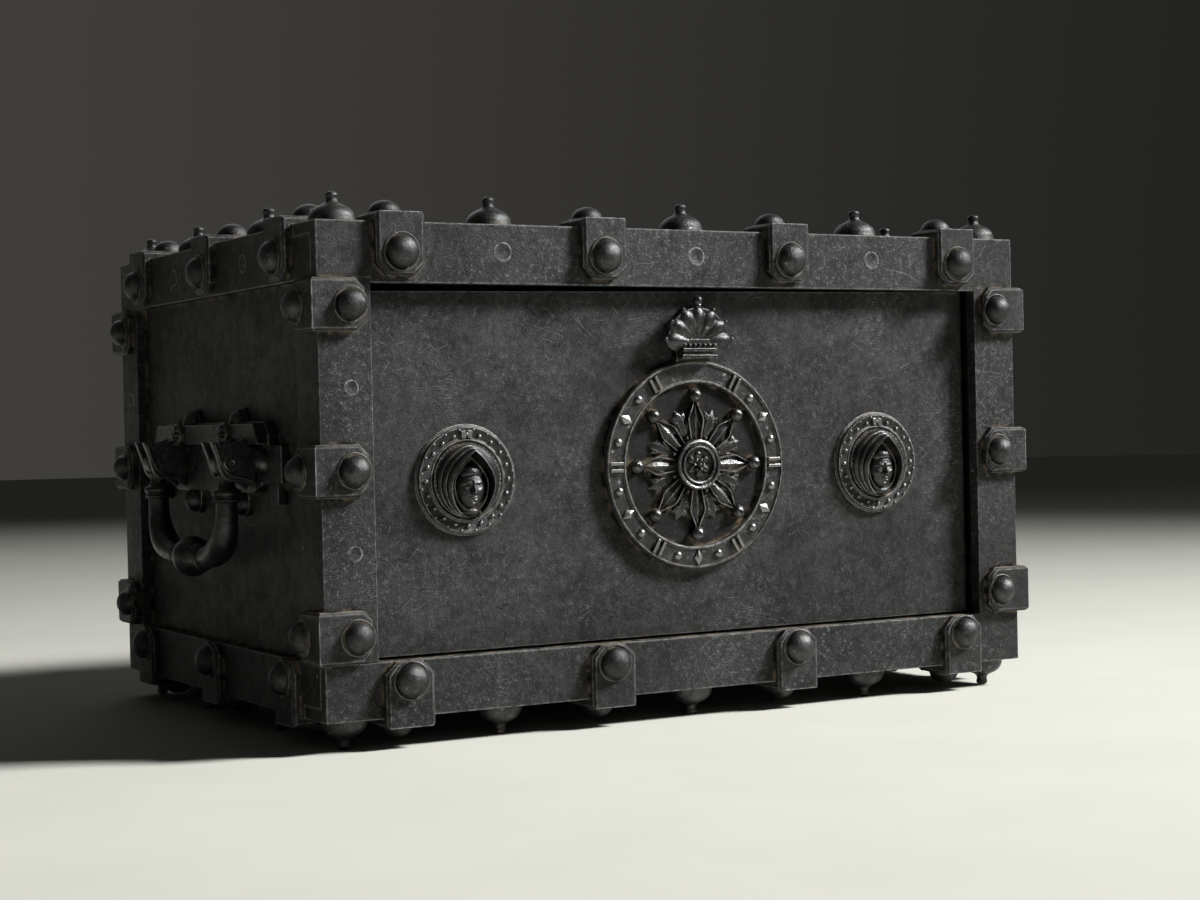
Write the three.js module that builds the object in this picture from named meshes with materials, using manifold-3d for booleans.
// Iron strongbox: a carcass of riveted angle iron and plates, standing on stud feet, with a pivoted front
// door. The door carries its lock, a badge that swings off the keyhole and two knobs cast as hooded heads,
// and a drop bail hangs on each side. Millimetres, +Z up, front towards -Y, feet on z = 0.
import * as THREE from 'three';
import { mergeVertices } from 'three/addons/utils/BufferGeometryUtils.js';
import Module from 'manifold-3d';

const wasm = await Module();
wasm.setup();

// Carcass
const bodyW = 400; // over the faces of the angle iron
const bodyD = 284;
const bodyH = 225; // without the finials and feet
const legW = 26; // leg of the angle iron, on every edge of the box
const ironT = 6; // thickness of the angle iron
const plateT = 3; // sheet behind the angle iron

// Fits
const runGap = 0.3; // between a moving piece and the face it runs on
const boreGap = 0.4; // around a shaft or pin in its hole
const weld = 0.3; // how deep a stud or strap sinks into the piece it is one with
const over = 1; // how far a cutting tool runs past the piece it cuts

// Straps over the edges, each with a round stud on both legs
const strapW = 24;
const strapT = 3.5;
const strapShort = 1.5; // a strap's end from the edge of the band below it
const postStrapShort = 4;
const strapCut = 5.5; // cut corner of a free end
const postStrapCut = 4.5;
const endStrapInset = 40; // outermost strap's centre from the end of a long band
const strapGap = 3; // between the outermost strap of a short band and the long band
const longStraps = 4;
const shortStraps = 3;
const studR = 8.5;
const studH = 7.5;
const postStudR = 8;
const studEdge = 3; // from a stud to the inner edge of the band

// Finials on top, and the same castings as feet
const finialR = 11;
const finialH = 14;
const finialEdge = 1; // from a finial to the inner edge of the band
const finialRimH = 1.2;
const finialDomeH = 8.6;
const finialPinR = 2.3;
const finialTipR = 1.4; // flat at the end of the pin
const finialTipH = 1.2;

// Door
const doorT = 8;
const doorStep = 2; // its face behind the face of the frame
const freeGap = 1; // at the lock edge
const hingeGap = 0.6;
const sillGap = 1.1;
const lintelGapFree = 5.3; // the door hangs a little out of square
const lintelGapHinge = 2;
const rebateW = 3.5; // width of the frame's lip behind the door
const lipT = 6;
const pivotR = 2.4;
const pivotDepth = 10; // of each pivot pin in the frame, and as much in the door

// Knobs: fixed dials with a turning dish and head
const leftKnobInset = 49; // from the side of the doorway
const rightKnobInset = 62;
const leftKnobDrop = 3.5; // below the middle of the badge
const rightKnobDrop = 2;
const dialR = 26;
const dialT = 3;
const dialBevel = 1;
const dishR = 17.4;
const dishH = 5;
const dishStepW = 2; // its rim has two steps
const dishStepH = 1.2;
const dishSink = 1.6; // its hollow, behind the inner step
const shaftR = 4;
const headW = 23;
const headH = 29;
const headFront = 14; // how far the head stands out from the door

// Head as ovals: half sizes, then centre, each across, out and up as shares of headW, its depth and headH
const hood = [[0.5, 1, 0.5], [0, 0, 0]];
const niche = [[0.34, 0.5, 0.36], [0.04, 1, -0.03]]; // cut out of the hood
const face = [[0.28, 0.6, 0.31], [0.035, 0.4, -0.05]];
const nose = [[0.065, 0.23, 0.11], [0.07, 0.9, -0.07]];
const shoulders = [[0.42, 0.62, 0.14], [0, 0, -0.4]];

// Badge over the keyhole
const badgeR = 51.5;
const badgeArm = 62; // from its pin down to its middle
const badgeRimW = 11.5;
const badgeT = 5.5;
const badgeEdge = 0.9; // bevel of the rim
const badgePinDrop = 27; // from the head of the doorway
const badgePinR = 4.5;
const badgePinSeat = 4; // depth in the door
const badgeEyeR = 11;
const badgeNeckW = 20;
const fieldT = 1.8;
const fieldUnder = 8; // how far the field reaches under the rim
const rays = 8;
const rayH = 2.6;
const rayGap = 9; // from the tips of the rays to the rim
const rayFootW = 4.4;
const rayWideW = 7.2;
const rayTipW = 1.8;
const rayTaper = 9; // from the widest place to the tip
const rayBallR = 3.8;
const rayBallRise = 3.9;
const rayBallGap = 6; // from the centres of the balls to the rim
const hubR = 12;
const hubH = 3.4;
const hubSection = [[0, 0], [0.95, 0], [0.95, 0.47], [0.8, 0.53], [0.77, 0.3], [0.38, 0.3], [0.3, 0.7],
  [0, 1]]; // shares of the hub's radius and height

// Crest in front of the badge's pin: a scalloped fan on a foot, with a ball on top and a lug to the door
const crestW = 40;
const crestT = 4.3;
const crestFootW = 20;
const crestFootH = 3;
const crestDrop = 7; // foot below the pin
const crestHead = 2; // of the fan above its lug
const crestLobes = 7;
const crestScallop = 0.12; // depth of the scallops, of the fan's radius
const crestSweep = 0.06; // how far the fan's ends turn below its middle, of half a turn
const crestBallR = 2.6;
const lugGap = 1.5; // above the badge's eye
const lugH = 2.5;
const lugW = 10;

// Keyhole and lock
const keyholeR = 4.6;
const keySlotW = 5;
const keySlotH = 15; // from the centre of the round hole down
const escutcheonRim = 3; // beyond the slot
const escutcheonT = 1.8;
const lockInset = 9; // from the side of the doorway
const lockMargin = 12; // beyond the wheels
const lockRoom = 7.5; // above and below the bolts
const lockDrop = 4; // middle of the lock below the middle of the badge
const lockPlateT = 2.5;
const lockWall = 2;
const lockBackRoom = 2; // behind the wheels
const keyLockW = 44;
const keyLockH = 50;
const keyLockD = 12;
const boltH = 13;
const boltD = 8;
const boltPitch = 34;
const boltCount = 3;
const boltInset = 8; // of the withdrawn bolts' tips from the side of the doorway
const boltSetback = 1.2; // behind the lip of the frame
const spineW = 10;
const tailH = 7.8;
const tailGap = 4; // from the bolt bar's tail to the key lock
const rackLeft = 2; // rack teeth on each side of the one below the pinion
const rackRight = 4;
const pinionPitchR = 7.64;
const pinionTeeth = 12;
const toothH = 1.1; // above and below the pitch line
const backlash = 0.7;
const wheelR = 16;
const wheelT = 2.6;
const wheelGap = 1.3;
const wheelCount = 3;
const wheelNotchW = 4;
const wheelNotchH = 5;

// Side handles
const handleUp = 116.5; // height of the bail's hinge line above the bottom of the body
const handleOut = 17; // hinge line from the side plate
const legAt = 51; // half the distance between the bail's legs, and so on outwards from the middle
const rivetAt = 34;
const plateHalfW = 66;
const armStudAt = 70;
const barHalfL = 76;
const tabAt = 82;
const armHalfL = 92;
const handlePlateT = 5;
const plateLow = 15; // its edge below the hinge line
const lobeR = 7; // round each rivet
const lobeRise = 5; // from the edge of the plate to the rivets
const armUp = 8;
const armDown = 10;
const tabW = 10;
const barLow = 8.5;
const barHigh = 19.5;
const barOut = 5.5;
const rivetR = 6;
const rivetH = 5;
const barStudR = 5;
const armStudR = 5.6;
const cheekT = 3;
const cheekFront = 6.5; // beyond the hinge line
const cheekH = 10.5; // above and below the hinge line
const cheekSlope = 3;
const eyeW = 9;
const eyeR = 6.5;
const hingePinR = 2.8;
const hingeHeadR = 4;
const hingeHeadT = 1;
const neckR = 4.2;
const collarR = 7;
const collarH = 5;
const collarDrop = 13; // top of the collar below the hinge line
const bailDrop = 47; // centre of the bottom of the bail below the hinge line
const bailRoundness = 2.6; // exponent of the bail's curve: 2 is an ellipse, more is squarer
const bailTopR = 5.2;
const bailCornerR = 6.8;
const knopR = 10.2;
const beadR = 7.4;
const beadSquash = 0.5;
const beadAt = 12.5;

// Facets
const studSides = 8;
const studSteps = 2;
const roundSides = 28;
const dishSides = 20;
const holeSides = 12;
const lobeSteps = 4;
const scallopSteps = 4;
const bailSteps = 16;
const bailSides = 8;

// Even places from -end to end, and the places halfway between neighbours
function spaced(count, end) {
  return Array.from({ length: count }, (_, i) => -end + (2 * end * i) / (count - 1));
}

function between(places) {
  return places.slice(1).map((x, i) => (x + places[i]) / 2);
}

// Planes and centres that several pieces share
const bodyBottom = finialH;
const bodyTop = bodyBottom + bodyH;
const halfW = bodyW / 2;
const halfD = bodyD / 2;
const openHalfW = halfW - legW;
const studInset = legW - studEdge - studR; // a stud's centre from the edge of the box
const finialInset = legW - finialEdge - finialR;
const openLow = bodyBottom + legW;
const openHigh = bodyTop - legW;
const openH = openHigh - openLow;
const insideW = halfW - ironT - plateT;
const insideLow = bodyBottom + ironT + plateT;
const insideHigh = bodyTop - ironT - plateT;
const frameFront = ironT - halfD;
const doorFace = frameFront + doorStep;
const doorBack = doorFace + doorT;
const doorMid = doorFace + doorT / 2;
const doorLow = openLow + sillGap;
const doorHighHinge = openHigh - lintelGapHinge;
const doorHighFree = openHigh - lintelGapFree;
const lipFront = doorBack + runGap;
const lipBack = lipFront + lipT;
const hingeX = openHalfW - hingeGap - doorT / 2;
const badgePinZ = openHigh - badgePinDrop;
const badgeZ = badgePinZ - badgeArm;
const badgeBoreR = badgeR - badgeRimW;
const badgeBack = doorFace - runGap;
const badgeFront = badgeBack - badgeT;
const fieldFront = badgeBack - fieldT;
const crestBack = badgeFront - runGap;
const crestRise = badgeEyeR + lugGap + lugH + crestHead;
const leftKnob = [leftKnobInset - openHalfW, badgeZ - leftKnobDrop];
const rightKnob = [openHalfW - rightKnobInset, badgeZ - rightKnobDrop];
const escutcheonR = keySlotH + escutcheonRim;
const boltFront = lipBack + boltSetback;
const boltBack = boltFront + boltD;
const shaftEnd = boltFront + boreGap / 2;
const boltZ = spaced(boltCount, (boltPitch * (boltCount - 1)) / 2).map((z) => badgeZ - lockDrop + z);
const lockLeft = lockInset - openHalfW;
const lockRight = rightKnob[0] + wheelR + lockMargin;
const lockLow = boltZ[0] - boltH / 2 - lockRoom - lockWall;
const lockHigh = boltZ[boltCount - 1] + boltH / 2 + lockRoom + lockWall;
const lockPlateBack = doorBack + lockPlateT;
const lockCaseBack = shaftEnd + wheelCount * (wheelT + wheelGap) + lockBackRoom + lockWall;
const toothPitch = (2 * Math.PI * pinionPitchR) / pinionTeeth;
const toothRoot = toothPitch / 2 + toothH / 2 - backlash / 2;
const toothTip = toothPitch / 2 - toothH / 2 - backlash / 2;
const boltThrow = (pinionPitchR * Math.PI) / 2;
const handleZ = bodyBottom + handleUp;
const rivetHigh = barHigh + lobeRise;
const rivetLow = -plateLow - lobeRise;
const cheekClear = eyeW / 2 + boreGap; // from the middle of a leg to the cheek beside it

// Directions, as the images of a geometry's own x, y and z
const X = new THREE.Vector3(1, 0, 0);
const Y = new THREE.Vector3(0, 1, 0);
const Z = new THREE.Vector3(0, 0, 1);
const minus = (v) => v.clone().negate();
const basis = (x, y, z) => new THREE.Matrix4().makeBasis(x, y, z);
const outlineOn = {
  plan: basis(X, Y, Z), // outline in X and Y, thickness upwards
  front: basis(X, Z, minus(Y)), // outline in X and Z, thickness towards the front
  left: basis(minus(Y), Z, minus(X)), // outline in Y and Z, thickness to the left
};
const axisTo = {
  up: basis(X, Z, minus(Y)),
  down: basis(X, minus(Z), Y),
  front: basis(X, minus(Y), minus(Z)),
  back: basis(X, Y, Z),
  left: basis(Y, minus(X), Z),
};

function box([x0, x1], [y0, y1], [z0, z1]) {
  const block = new THREE.BoxGeometry(x1 - x0, y1 - y0, z1 - z0);
  return block.translate((x0 + x1) / 2, (y0 + y1) / 2, (z0 + z1) / 2);
}

function point2([x, y]) {
  return new THREE.Vector2(x, y);
}

// A flat piece of the given outline: a THREE.Shape, or a list of points
function slab(outline, thickness, plane, at = [0, 0, 0], curveSegments = 6) {
  const shape = outline instanceof THREE.Shape ? outline : new THREE.Shape(outline.map(point2));
  const settings = { depth: thickness, bevelEnabled: false, curveSegments };
  return new THREE.ExtrudeGeometry(shape, settings).applyMatrix4(outlineOn[plane]).translate(...at);
}

// A turned piece: points [radius, height] from the foot of its axis to the head, or round a closed section
function turned(profile, sides, direction, at = [0, 0, 0]) {
  const lathe = new THREE.LatheGeometry(profile.map(point2), sides);
  return lathe.applyMatrix4(axisTo[direction]).translate(...at);
}

function rod(radius, [from, to], direction, at, sides = holeSides) {
  return turned([[0, from], [radius, from], [radius, to], [0, to]], sides, direction, at);
}

// A round piece that runs from one y to another
function rodAlongY(radius, [front, back], x, z, sides = holeSides) {
  return rod(radius, [front, back], 'back', [x, 0, z], sides);
}

// Quarter ellipse from rim to crown, as points [radius, height]
function domeProfile(radius, height, base) {
  return Array.from({ length: studSteps + 1 }, (_, i) => {
    const angle = (i / studSteps) * (Math.PI / 2);
    return [i === studSteps ? 0 : radius * Math.cos(angle), base + height * Math.sin(angle)];
  });
}

function stud(radius, height, direction, at) {
  return turned([[0, -weld], [radius, -weld], ...domeProfile(radius, height, 0)], studSides, direction, at);
}

function finial(direction, at) {
  const shoulder = domeProfile(finialR, finialDomeH, finialRimH).slice(0, -1);
  const pin = [[finialPinR, finialDomeH], [finialPinR, finialH - finialTipH], [finialTipR, finialH],
    [0, finialH]];
  return turned([[0, -weld], [finialR, -weld], ...shoulder, ...pin], studSides, direction, at);
}

function solid(geometry) {
  const bare = geometry.clone();
  bare.deleteAttribute('normal');
  bare.deleteAttribute('uv');
  const merged = mergeVertices(bare, 1e-4);
  const index = [];
  for (let i = 0; i < merged.index.count; i += 3) {
    const [a, b, c] = [0, 1, 2].map((k) => merged.index.getX(i + k));
    if (a !== b && b !== c && c !== a) index.push(a, b, c);
  }
  const vertProperties = new Float32Array(merged.attributes.position.array);
  return new wasm.Manifold(new wasm.Mesh({ numProp: 3, vertProperties, triVerts: new Uint32Array(index) }));
}

function geometryOf(manifold) {
  const { vertProperties, triVerts } = manifold.getMesh();
  const geometry = new THREE.BufferGeometry();
  geometry.setAttribute('position', new THREE.BufferAttribute(vertProperties, 3));
  geometry.setIndex(new THREE.BufferAttribute(triVerts, 1));
  geometry.computeVertexNormals();
  return geometry;
}

function join(...pieces) {
  return geometryOf(pieces.map(solid).reduce((whole, piece) => whole.add(piece)));
}

function cut(piece, ...tools) {
  return geometryOf(tools.map(solid).reduce((rest, tool) => rest.subtract(tool), solid(piece)));
}

// Copies of a geometry turned about an axis along Y, the first one by the given share of a step
function turnedCopies(geometry, count, firstStep) {
  return Array.from({ length: count }, (_, i) => {
    const angle = ((i + firstStep) * 2 * Math.PI) / count;
    return geometry.clone().applyMatrix4(new THREE.Matrix4().makeRotationY(angle));
  });
}

const finishes = {
  iron: { color: 0x1c1d1f, roughness: 0.52, metalness: 0.85 },
  sheet: { color: 0x232426, roughness: 0.6, metalness: 0.8 },
  casting: { color: 0x191a1b, roughness: 0.42, metalness: 0.9 },
  steel: { color: 0x5d5f60, roughness: 0.4, metalness: 1 },
  brass: { color: 0x8a6a34, roughness: 0.45, metalness: 1 },
};

function piece(name, geometry, finish) {
  const mesh = new THREE.Mesh(geometry, new THREE.MeshStandardMaterial(finishes[finish]));
  mesh.name = name;
  return mesh;
}

// A strap bent over an edge that lies along X at the origin: one leg hangs down the face towards -Y, the
// other lies back over the top, and each carries a stud. inset sinks the legs into the iron below them.
function strap({ leg, corner, radius, inset }) {
  const half = strapW / 2;
  const outline = [[-half, -strapT], [half, -strapT], [half, leg - corner], [half - corner, leg],
    [corner - half, leg], [-half, leg - corner]];
  const hanging = slab(outline.map(([x, y]) => [x, -y]).reverse(), strapT + inset, 'front', [0, inset, 0]);
  const lying = slab(outline, strapT + inset, 'plan', [0, 0, -inset]);
  return join(hanging, lying, stud(radius, studH, 'front', [0, -strapT, -studInset]),
    stud(radius, studH, 'up', [0, studInset, strapT]));
}

// Angle iron along X with its outer edge at the origin: upright leg towards -Z, flat leg towards +Y
function angleIron(flatHalf, uprightHalf) {
  const flat = box([-flatHalf, flatHalf], [0, legW], [-ironT, 0]);
  const upright = (half, top) => box([-half, half], [0, ironT], [-legW, top]);
  return join(flat, upright(flatHalf, -ironT / 2), upright(uprightHalf, -ironT));
}

function rail(iron, straps, finials) {
  const leg = legW - strapShort;
  const strapOver = strap({ leg, corner: strapCut, radius: studR, inset: weld });
  return join(iron, ...straps.map((x) => strapOver.clone().translate(x, 0, 0)),
    ...finials.map((x) => finial('up', [x, finialInset, 0])));
}

// Four rails round the top, the long ones over the ends of the short ones. The same ring turned over is the
// bottom one, and stands on its finials.
function railRing(names) {
  const ring = new THREE.Group();
  const corner = halfW - finialInset;
  const longPlaces = spaced(longStraps, halfW - endStrapInset);
  const longRail = rail(angleIron(halfW, halfW), longPlaces, [-corner, ...between(longPlaces), corner]);
  const shortPlaces = spaced(shortStraps, halfD - legW - strapGap - strapW / 2);
  const shortRail = rail(angleIron(halfD - legW, halfD - ironT), shortPlaces, between(shortPlaces));
  const sides = [[longRail, halfD], [shortRail, halfW], [longRail, halfD], [shortRail, halfW]];
  sides.forEach(([geometry, out], i) => {
    const turn = new THREE.Group();
    turn.rotation.z = (i * Math.PI) / 2;
    const mesh = piece(names[i], geometry, 'iron');
    mesh.position.y = -out;
    turn.add(mesh);
    ring.add(turn);
  });
  return ring;
}

function rails() {
  const top = railRing(['top_front_rail', 'top_right_rail', 'top_back_rail', 'top_left_rail']);
  top.position.z = bodyTop;
  const bottom = railRing(['bottom_back_rail', 'bottom_right_rail', 'bottom_front_rail',
    'bottom_left_rail']);
  bottom.position.z = bodyBottom;
  bottom.rotation.x = Math.PI;
  return [top, bottom];
}

// Corner posts between the rails, each with three straps bent round its edge
function posts() {
  const outline = [[0, 0], [legW, 0], [legW, ironT], [ironT, ironT], [ironT, legW], [0, legW]];
  const post = slab(outline, openH, 'plan');
  const geometry = strap({ leg: legW - postStrapShort, corner: postStrapCut, radius: postStudR, inset: 0 })
    .applyMatrix4(basis(Z, Y, minus(X)));
  const heights = [['low', openLow + strapW / 2], ['mid', (openLow + openHigh) / 2],
    ['high', openHigh - strapW / 2]];
  const corners = [['front_left', -halfW, -halfD], ['front_right', halfW, -halfD],
    ['back_right', halfW, halfD], ['back_left', -halfW, halfD]];
  return corners.map(([corner, x, y], i) => {
    const group = new THREE.Group();
    group.position.set(x, y, 0);
    group.rotation.z = (i * Math.PI) / 2;
    const iron = piece(`post_${corner}`, post, 'iron');
    iron.position.z = openLow;
    group.add(iron);
    heights.forEach(([height, z]) => {
      const mesh = piece(`strap_${corner}_${height}`, geometry, 'iron');
      mesh.position.z = z;
      group.add(mesh);
    });
    return group;
  });
}

function plates() {
  const acrossW = [ironT - halfW, halfW - ironT];
  const alongD = [ironT - halfD, halfD - ironT];
  const upright = [insideLow, insideHigh];
  const side = (x0, x1) => box([x0, x1], alongD, upright);
  return [
    piece('top_plate', box(acrossW, alongD, [insideHigh, bodyTop - ironT]), 'sheet'),
    piece('bottom_plate', box(acrossW, alongD, [bodyBottom + ironT, insideLow]), 'sheet'),
    piece('left_plate', side(ironT - halfW, -insideW), 'sheet'),
    piece('right_plate', side(insideW, halfW - ironT), 'sheet'),
    piece('back_plate', box([-insideW, insideW], [alongD[1] - plateT, alongD[1]], upright), 'sheet'),
  ];
}

// Frame round the doorway, with a lip behind the door and a hole for each pivot pin
function doorFrame() {
  const block = box([-insideW, insideW], [frameFront, lipBack], [insideLow, insideHigh]);
  const doorway = box([-openHalfW, openHalfW], [frameFront - over, lipFront], [openLow, openHigh]);
  const way = box([rebateW - openHalfW, openHalfW - rebateW], [frameFront - over, lipBack + over],
    [openLow + rebateW, openHigh - rebateW]);
  const low = openLow - pivotDepth - boreGap;
  const high = openHigh + pivotDepth + boreGap;
  const pivots = rod(pivotR + boreGap, [low, high], 'up', [hingeX, doorMid, 0]);
  return piece('door_frame', cut(block, doorway, way, pivots), 'iron');
}

// Keyhole: a round hole over a slot, from one y to another
function keyhole([front, back], grow = 0) {
  const half = keySlotW / 2 + grow;
  const radius = keyholeR + grow;
  const meet = Math.asin(half / radius);
  const shape = new THREE.Shape();
  shape.absarc(0, 0, radius, meet - Math.PI / 2, Math.PI * 1.5 - meet, false);
  shape.lineTo(-half, -keySlotH - grow);
  shape.lineTo(half, -keySlotH - grow);
  return slab(shape, back - front, 'front', [0, back, badgeZ], holeSides);
}

// Door plate: square at the lock edge, half round at the hinge edge, its head cut a little out of square
function doorPlate() {
  const left = freeGap - openHalfW;
  const right = hingeX + doorT;
  const plan = new THREE.Shape();
  plan.moveTo(left, doorFace);
  plan.lineTo(hingeX, doorFace);
  plan.absarc(hingeX, doorMid, doorT / 2, -Math.PI / 2, Math.PI / 2, false);
  plan.lineTo(left, doorBack);
  const plate = slab(plan, openHigh - doorLow, 'plan', [0, 0, doorLow], 8);
  const head = [[left - over, doorHighFree], [right, doorHighHinge], [right, openHigh + over],
    [left - over, openHigh + over]];
  const through = [doorFace - over, doorBack + over];
  const pivot = (from, to) => rod(pivotR + boreGap, [from, to], 'up', [hingeX, doorMid, 0]);
  return cut(plate,
    slab(head, doorT + 2 * over, 'front', [0, doorBack + over, 0]),
    rodAlongY(shaftR + boreGap, through, ...leftKnob),
    rodAlongY(shaftR + boreGap, through, ...rightKnob),
    keyhole(through),
    rodAlongY(escutcheonR, [doorFace - over, doorFace + escutcheonT], 0, badgeZ, roundSides),
    rodAlongY(badgePinR + boreGap, [doorFace - over, doorFace + badgePinSeat], 0, badgePinZ),
    pivot(doorLow - over, doorLow + pivotDepth),
    pivot(doorHighHinge - pivotDepth, openHigh));
}

function pivotPins() {
  const pin = (ends) => rod(pivotR, ends, 'up', [hingeX, doorMid, 0]);
  return [
    piece('door_pivot_bottom', pin([openLow - pivotDepth, doorLow + pivotDepth]), 'steel'),
    piece('door_pivot_top', pin([doorHighHinge - pivotDepth, openHigh + pivotDepth]), 'steel'),
  ];
}

function keyholePlate() {
  const disc = rodAlongY(escutcheonR - boreGap, [doorFace + runGap, doorFace + escutcheonT], 0, badgeZ,
    roundSides);
  return cut(disc, keyhole([doorFace, doorBack]));
}

function lockPlate() {
  const plate = box([lockLeft, lockRight], [doorBack, lockPlateBack], [lockLow, lockHigh]);
  const through = [doorBack - over, lockPlateBack + over];
  return cut(plate, rodAlongY(shaftR + boreGap, through, ...leftKnob),
    rodAlongY(shaftR + boreGap, through, ...rightKnob), keyhole(through));
}

function lockCase() {
  const shell = box([lockLeft, lockRight], [lockPlateBack, lockCaseBack], [lockLow, lockHigh]);
  const inside = box([lockLeft + lockWall, lockRight - lockWall],
    [lockPlateBack - over, lockCaseBack - lockWall], [lockLow + lockWall, lockHigh - lockWall]);
  const slots = boltZ.map((z) => box([lockLeft - over, lockLeft + lockWall + over],
    [boltFront - boreGap, boltBack + boreGap], [z - boltH / 2 - boreGap, z + boltH / 2 + boreGap]));
  return cut(shell, inside, ...slots);
}

// Lock body behind the keyhole, with a pocket for the key
function keyLock() {
  const back = lockPlateBack + keyLockD;
  const body = box([-keyLockW / 2, keyLockW / 2], [lockPlateBack, back],
    [badgeZ - keyLockH / 2, badgeZ + keyLockH / 2]);
  return cut(body, keyhole([lockPlateBack - over, back - lockWall], boreGap));
}

// One tooth over a pitch line along the first axis, from below its root to its tip
function toothOutline(at, base) {
  const height = 2 * toothH + weld;
  return [[at - toothRoot / 2, base], [at + toothRoot / 2, base], [at + toothTip / 2, base + height],
    [at - toothTip / 2, base + height]];
}

// Pinion on the end of the left shaft. At rest a gap between its teeth points down at a rack tooth.
function pinion() {
  const rootR = pinionPitchR - toothH - boreGap / 2;
  const thick = boltD - boreGap;
  const core = rod(rootR, [0, thick], 'back', [0, 0, 0], roundSides);
  const pointingDown = toothOutline(0, rootR - weld).map(([x, z]) => [-x, -z]);
  const tooth = slab(pointingDown, thick, 'front', [0, thick, 0]);
  return join(core, ...turnedCopies(tooth, pinionTeeth, 0.5))
    .translate(leftKnob[0], shaftEnd, leftKnob[1]);
}

// Bolt bar: bolts on an upright spine, and a tail with the rack under the pinion
function boltBar() {
  const rackBase = leftKnob[1] - pinionPitchR - toothH - boreGap / 2;
  const depth = [boltFront, boltBack];
  const spineLeft = lockLeft + lockWall + boltThrow + runGap;
  const spineMid = spineLeft + spineW / 2;
  const spine = box([spineLeft, spineLeft + spineW], depth,
    [boltZ[0] - boltH / 2, boltZ[boltCount - 1] + boltH / 2]);
  const tip = boltInset - openHalfW;
  const bolts = boltZ.map((z) => box([tip, spineMid], depth, [z - boltH / 2, z + boltH / 2]));
  const tail = box([spineMid, -keyLockW / 2 - tailGap], depth, [rackBase - tailH, rackBase]);
  const teeth = Array.from({ length: rackLeft + 1 + rackRight }, (_, i) => {
    const at = leftKnob[0] + (i - rackLeft) * toothPitch;
    return slab(toothOutline(at, rackBase - weld), boltD, 'front', [0, boltBack, 0]);
  });
  return join(spine, ...bolts, tail, ...teeth);
}

// Combination wheels in one turned stack on the end of the right shaft, with a notch for the fence
function wheels() {
  const section = [[0, 0]];
  for (let i = 0; i < wheelCount; i += 1) {
    const foot = i * (wheelT + wheelGap);
    const head = foot + wheelT;
    section.push([wheelR, foot], [wheelR, head], [shaftR, head], [shaftR, head + wheelGap]);
  }
  const length = section[section.length - 1][1];
  section.push([0, length]);
  const stack = turned(section, roundSides / 2, 'back', [rightKnob[0], shaftEnd, rightKnob[1]]);
  const rim = rightKnob[1] + wheelR;
  const notch = box([rightKnob[0] - wheelNotchW / 2, rightKnob[0] + wheelNotchW / 2],
    [shaftEnd - over, shaftEnd + length + over], [rim - wheelNotchH, rim + over]);
  return cut(stack, notch);
}

function dial([x, z]) {
  const bore = dishR + boreGap;
  const section = [[bore, 0], [dialR, 0], [dialR, dialT - dialBevel], [dialR - dialBevel, dialT],
    [bore + dialBevel, dialT], [bore, dialT - dialBevel], [bore, 0]];
  return turned(section, dishSides, 'front', [x, doorFace, z]);
}

// Turning dish on its shaft, with a hooded head in it that is flat behind
function knob([x, z]) {
  const floor = dishH - dishSink;
  const low = dishH - dishStepH;
  const [middle, inner] = [dishR - dishStepW, dishR - 2 * dishStepW];
  const dish = turned([[0, 0], [dishR, 0], [dishR, low], [middle, low], [middle, dishH], [inner, dishH],
    [inner, floor], [0, floor]], dishSides, 'front', [0, -runGap, 0]);
  const shaft = rodAlongY(shaftR, [-runGap - weld, shaftEnd - doorFace], 0, 0);
  const depth = headFront - floor;
  const oval = ([[sx, sy, sz], [cx, cy, cz]]) => new THREE.SphereGeometry(1, 10, 6)
    .scale(sx * headW, sy * depth, sz * headH).translate(cx * headW, -floor - cy * depth, cz * headH);
  const behind = box([-headH, headH], [-floor, headH], [-headH, headH]);
  const head = cut(join(cut(oval(hood), oval(niche)), ...[face, nose, shoulders].map(oval)), behind);
  return join(head, dish, shaft).translate(x, doorFace, z);
}

// Rim of the badge, with a neck up to an eye round its pin
function badgeRing() {
  const [low, high, inner, outer] = [fieldT, badgeT, badgeBoreR, badgeR];
  const rim = turned([[inner, low], [outer, low], [outer, high - badgeEdge], [outer - badgeEdge, high],
    [inner + badgeEdge, high], [inner, high - badgeEdge], [inner, low]], roundSides, 'front',
    [0, badgeBack, badgeZ]);
  const depth = [badgeFront, badgeBack];
  const eye = rodAlongY(badgeEyeR, depth, 0, badgePinZ, roundSides / 2);
  const neck = box([-badgeNeckW / 2, badgeNeckW / 2], depth, [badgeZ + badgeR - badgeRimW / 2, badgePinZ]);
  const behind = rodAlongY(badgeBoreR + fieldUnder + runGap, [fieldFront, badgeBack + over], 0, badgeZ,
    roundSides);
  const bore = rodAlongY(badgePinR + boreGap, [badgeFront - over, badgeBack + over], 0, badgePinZ);
  return cut(join(rim, cut(join(eye, neck), behind)), bore);
}

// Raised rays with balls beyond their tips, round a flat core
function badgeRosette() {
  const tip = badgeBoreR - rayGap;
  const wide = tip - rayTaper;
  const foot = hubR / 2;
  const right = [[rayFootW / 2, foot], [rayWideW / 2, wide], [rayTipW / 2, tip]];
  const left = right.map(([x, z]) => [-x, z]).reverse();
  const arm = slab([...right, ...left], rayH, 'front');
  const ball = turned([[0, 0], ...domeProfile(rayBallR, rayBallRise, 0)], studSides, 'front',
    [0, 0, badgeBoreR - rayBallGap]);
  const core = rodAlongY(hubR, [-rayH, 0], 0, 0, roundSides / 2);
  return join(core, ...turnedCopies(join(arm, ball), rays, 0)).translate(0, fieldFront, badgeZ);
}

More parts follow.
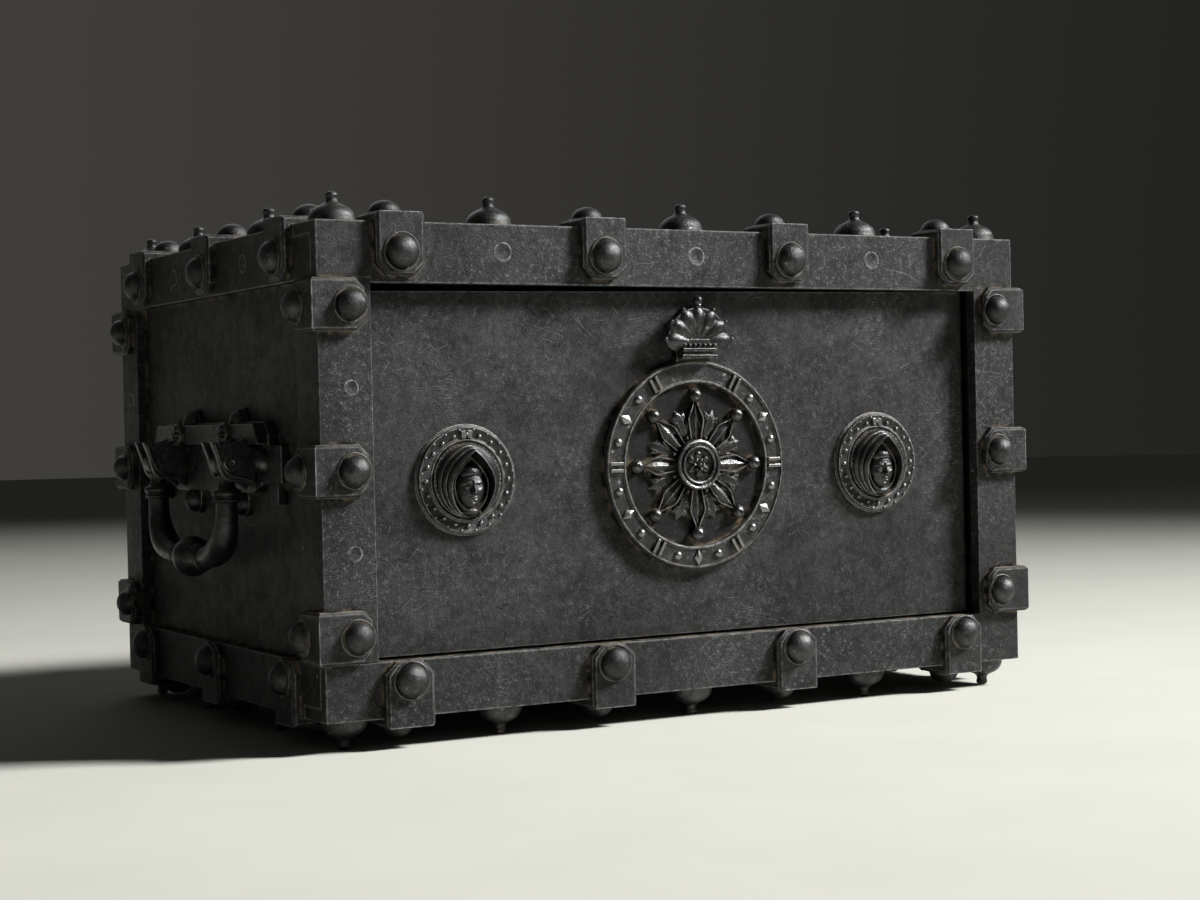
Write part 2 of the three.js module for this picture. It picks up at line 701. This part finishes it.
function badge() {
  const field = rodAlongY(badgeBoreR + fieldUnder, [fieldFront, badgeBack], 0, badgeZ, roundSides);
  const hub = turned(hubSection.map(([r, h]) => [r * hubR, h * hubH]), roundSides / 2, 'front',
    [0, fieldFront - rayH, badgeZ]);
  return [
    piece('badge_ring', badgeRing(), 'casting'),
    piece('badge_field', field, 'casting'),
    piece('badge_rosette', badgeRosette(), 'casting'),
    piece('badge_hub', hub, 'casting'),
  ];
}

function crest() {
  const steps = crestLobes * scallopSteps;
  const fan = Array.from({ length: steps + 1 }, (_, i) => {
    const angle = (-crestSweep + ((1 + 2 * crestSweep) * i) / steps) * Math.PI;
    const radius = 1 - crestScallop + crestScallop * Math.abs(Math.sin((i / scallopSteps) * Math.PI));
    return [(crestW / 2) * radius * Math.cos(angle), crestRise * radius * Math.sin(angle)];
  });
  const foot = crestFootW / 2;
  const outline = [[-foot, -crestDrop], [foot, -crestDrop], [foot, crestFootH - crestDrop], ...fan,
    [-foot, crestFootH - crestDrop]];
  const plate = slab(outline, crestT, 'front', [0, crestBack, 0]);
  const ball = new THREE.SphereGeometry(crestBallR, 8, 5)
    .translate(0, crestBack - crestT / 2, crestRise + crestBallR / 2);
  const lugLow = badgeEyeR + lugGap;
  const lug = box([-lugW / 2, lugW / 2], [crestBack - weld, doorFace], [lugLow, lugLow + lugH]);
  return join(plate, ball, lug).translate(0, 0, badgePinZ);
}

function door() {
  const pin = rodAlongY(badgePinR, [crestBack, doorFace + badgePinSeat], 0, badgePinZ);
  return [
    piece('door_plate', doorPlate(), 'sheet'),
    ...pivotPins(),
    piece('lock_plate', lockPlate(), 'steel'),
    piece('lock_case', lockCase(), 'sheet'),
    piece('key_lock', keyLock(), 'brass'),
    piece('keyhole_plate', keyholePlate(), 'brass'),
    piece('bolt_bar', boltBar(), 'steel'),
    piece('left_pinion', pinion(), 'steel'),
    piece('combination_wheels', wheels(), 'brass'),
    piece('left_dial', dial(leftKnob), 'casting'),
    piece('right_dial', dial(rightKnob), 'casting'),
    piece('left_knob', knob(leftKnob), 'casting'),
    piece('right_knob', knob(rightKnob), 'casting'),
    piece('badge_pin', pin, 'steel'),
    piece('badge_crest', crest(), 'casting'),
    ...badge(),
  ];
}

// The left handle. Its x is 0 on the side plate and grows inwards, its z is 0 on the hinge line.
// Outline of the plate for y > 0, from its foot to its head: lobed round the rivets, with an arm
function halfPlateOutline() {
  const lobe = (z, from) => Array.from({ length: lobeSteps + 1 }, (_, i) => {
    const angle = from + (i / lobeSteps) * Math.PI;
    return [rivetAt + lobeR * Math.cos(angle), z + lobeR * Math.sin(angle)];
  });
  return [
    [rivetAt - lobeR, -plateLow], ...lobe(rivetLow, Math.PI), [rivetAt + lobeR, -plateLow],
    [plateHalfW, -plateLow], [plateHalfW, -armDown],
    [tabAt - tabW / 2, -armDown], [tabAt - tabW / 2, rivetLow],
    [tabAt + tabW / 2, rivetLow], [tabAt + tabW / 2, -armDown],
    [armHalfL, -armDown], [armHalfL, armUp], [barHalfL, armUp],
    [barHalfL, barHigh - barOut], [barHalfL - barOut, barHigh],
    [rivetAt + lobeR, barHigh], ...lobe(rivetHigh, 0), [rivetAt - lobeR, barHigh],
  ];
}

// Cheek between the plate and its rounded end, in x and z
function cheekOutline() {
  const tip = -handleOut - cheekFront;
  const shape = new THREE.Shape();
  shape.moveTo(weld - handlePlateT, -cheekH);
  shape.lineTo(weld - handlePlateT, cheekH);
  shape.lineTo(tip, cheekH - cheekSlope);
  shape.lineTo(tip, cheekFront - cheekH);
  shape.absarc(-handleOut, cheekFront - cheekH, cheekFront, Math.PI, Math.PI * 1.5, false);
  return shape;
}

function pinBore(y) {
  return rodAlongY(hingePinR + boreGap, [y - eyeW, y + eyeW], -handleOut, 0, studSides);
}

function handlePlate() {
  const front = -handlePlateT;
  const half = halfPlateOutline();
  const plate = slab([...half, ...half.map(([y, z]) => [-y, z]).reverse()], handlePlateT, 'left');
  const barTop = barHigh - over;
  const bar = slab([[-barHalfL, barLow], [barHalfL, barLow], [barHalfL - barOut, barTop],
    [barOut - barHalfL, barTop]], barOut + weld, 'left', [front + weld, 0, 0]);
  const studs = [-1, 1].flatMap((side) => [
    stud(rivetR, rivetH, 'left', [front, side * rivetAt, rivetHigh]),
    stud(rivetR, rivetH, 'left', [front, side * rivetAt, rivetLow]),
    stud(barStudR, rivetH, 'left', [front - barOut, side * rivetAt, (barLow + barHigh) / 2]),
    stud(armStudR, rivetH, 'left', [front, side * armStudAt, 0]),
  ]);
  const cheek = (y) => slab(cheekOutline(), cheekT, 'front', [0, y, 0], 4);
  const cheeks = [-legAt, legAt].flatMap((y) => [cheek(y - cheekClear), cheek(y + cheekClear + cheekT)]);
  return cut(join(plate, bar, ...studs, ...cheeks), pinBore(-legAt), pinBore(legAt));
}

// Pin through a pair of cheeks, its head on the side away from the bail's middle
function hingePin(side) {
  const far = cheekClear + cheekT;
  const head = far + hingeHeadT;
  return turned([[0, -far], [hingePinR, -far], [hingePinR, far], [hingeHeadR, far], [hingeHeadR, head],
    [0, head]], studSides, side < 0 ? 'front' : 'back', [-handleOut, side * legAt, 0]);
}

// The bail's curve between the collars: a squared half ellipse in the plane of the hinge line
function bailCurve(t) {
  const top = -collarDrop - collarH / 2;
  const along = (v) => Math.sign(v) * Math.abs(v) ** (2 / bailRoundness);
  const y = legAt * along(Math.cos(t));
  return new THREE.Vector3(-handleOut, y, top - (bailDrop + top) * along(Math.sin(t)));
}

// Tube round the curve, thickest at the lower corners
function bailRod() {
  const nudge = 0.02;
  const positions = [];
  for (let i = 0; i <= bailSteps; i += 1) {
    const t = (i / bailSteps) * Math.PI;
    const radius = bailTopR + (bailCornerR - bailTopR) * Math.sin(2 * t) ** 2;
    const behind = bailCurve(Math.max(t - nudge, 0));
    const ahead = bailCurve(Math.min(t + nudge, Math.PI)).sub(behind).normalize();
    const across = new THREE.Vector3().crossVectors(ahead, X);
    for (let k = 0; k < bailSides; k += 1) {
      const angle = (k / bailSides) * 2 * Math.PI;
      const out = X.clone().multiplyScalar(Math.cos(angle)).addScaledVector(across, Math.sin(angle));
      positions.push(...bailCurve(t).addScaledVector(out, radius).toArray());
    }
  }
  const index = [];
  for (let i = 0; i < bailSteps; i += 1) {
    for (let k = 0; k < bailSides; k += 1) {
      const [a, b] = [i * bailSides + k, i * bailSides + ((k + 1) % bailSides)];
      index.push(a, b, a + bailSides, b, b + bailSides, a + bailSides);
    }
  }
  const last = bailSteps * bailSides;
  for (let k = 1; k < bailSides - 1; k += 1) {
    index.push(0, k + 1, k, last, last + k, last + k + 1);
  }
  const geometry = new THREE.BufferGeometry();
  geometry.setAttribute('position', new THREE.Float32BufferAttribute(positions, 3));
  geometry.setIndex(index);
  return geometry;
}

function bail() {
  const at = (y, z) => [-handleOut, y, z];
  const legs = [-legAt, legAt].flatMap((y) => [
    rodAlongY(eyeR, [y - eyeW / 2, y + eyeW / 2], -handleOut, 0),
    rod(neckR, [-collarDrop - over, -eyeR / 2], 'up', at(y, 0), studSides),
    rod(collarR, [-collarDrop - collarH, -collarDrop], 'up', at(y, 0), studSides),
  ]);
  const knop = new THREE.SphereGeometry(knopR, 10, 6).translate(...at(0, -bailDrop));
  const bead = (y) => new THREE.SphereGeometry(beadR, 8, 4).scale(1, beadSquash, 1)
    .translate(...at(y, -bailDrop));
  return cut(join(bailRod(), ...legs, knop, bead(-beadAt), bead(beadAt)), pinBore(-legAt), pinBore(legAt));
}

function handle(side, turn, near, far) {
  const fixed = new THREE.Group();
  fixed.position.set(ironT - halfW, 0, handleZ);
  fixed.add(
    piece(`${side}_handle_plate`, handlePlate(), 'casting'),
    piece(`${side}_hinge_pin_${near}`, hingePin(-1), 'steel'),
    piece(`${side}_hinge_pin_${far}`, hingePin(1), 'steel'),
    piece(`${side}_bail`, bail(), 'casting'),
  );
  const group = new THREE.Group();
  group.rotation.z = turn;
  group.add(fixed);
  return group;
}

const strongbox = new THREE.Group();
strongbox.name = 'strongbox';
strongbox.add(...rails(), ...posts(), ...plates(), doorFrame(), ...door(),
  handle('left', 0, 'front', 'back'), handle('right', Math.PI, 'back', 'front'));

export default strongbox;
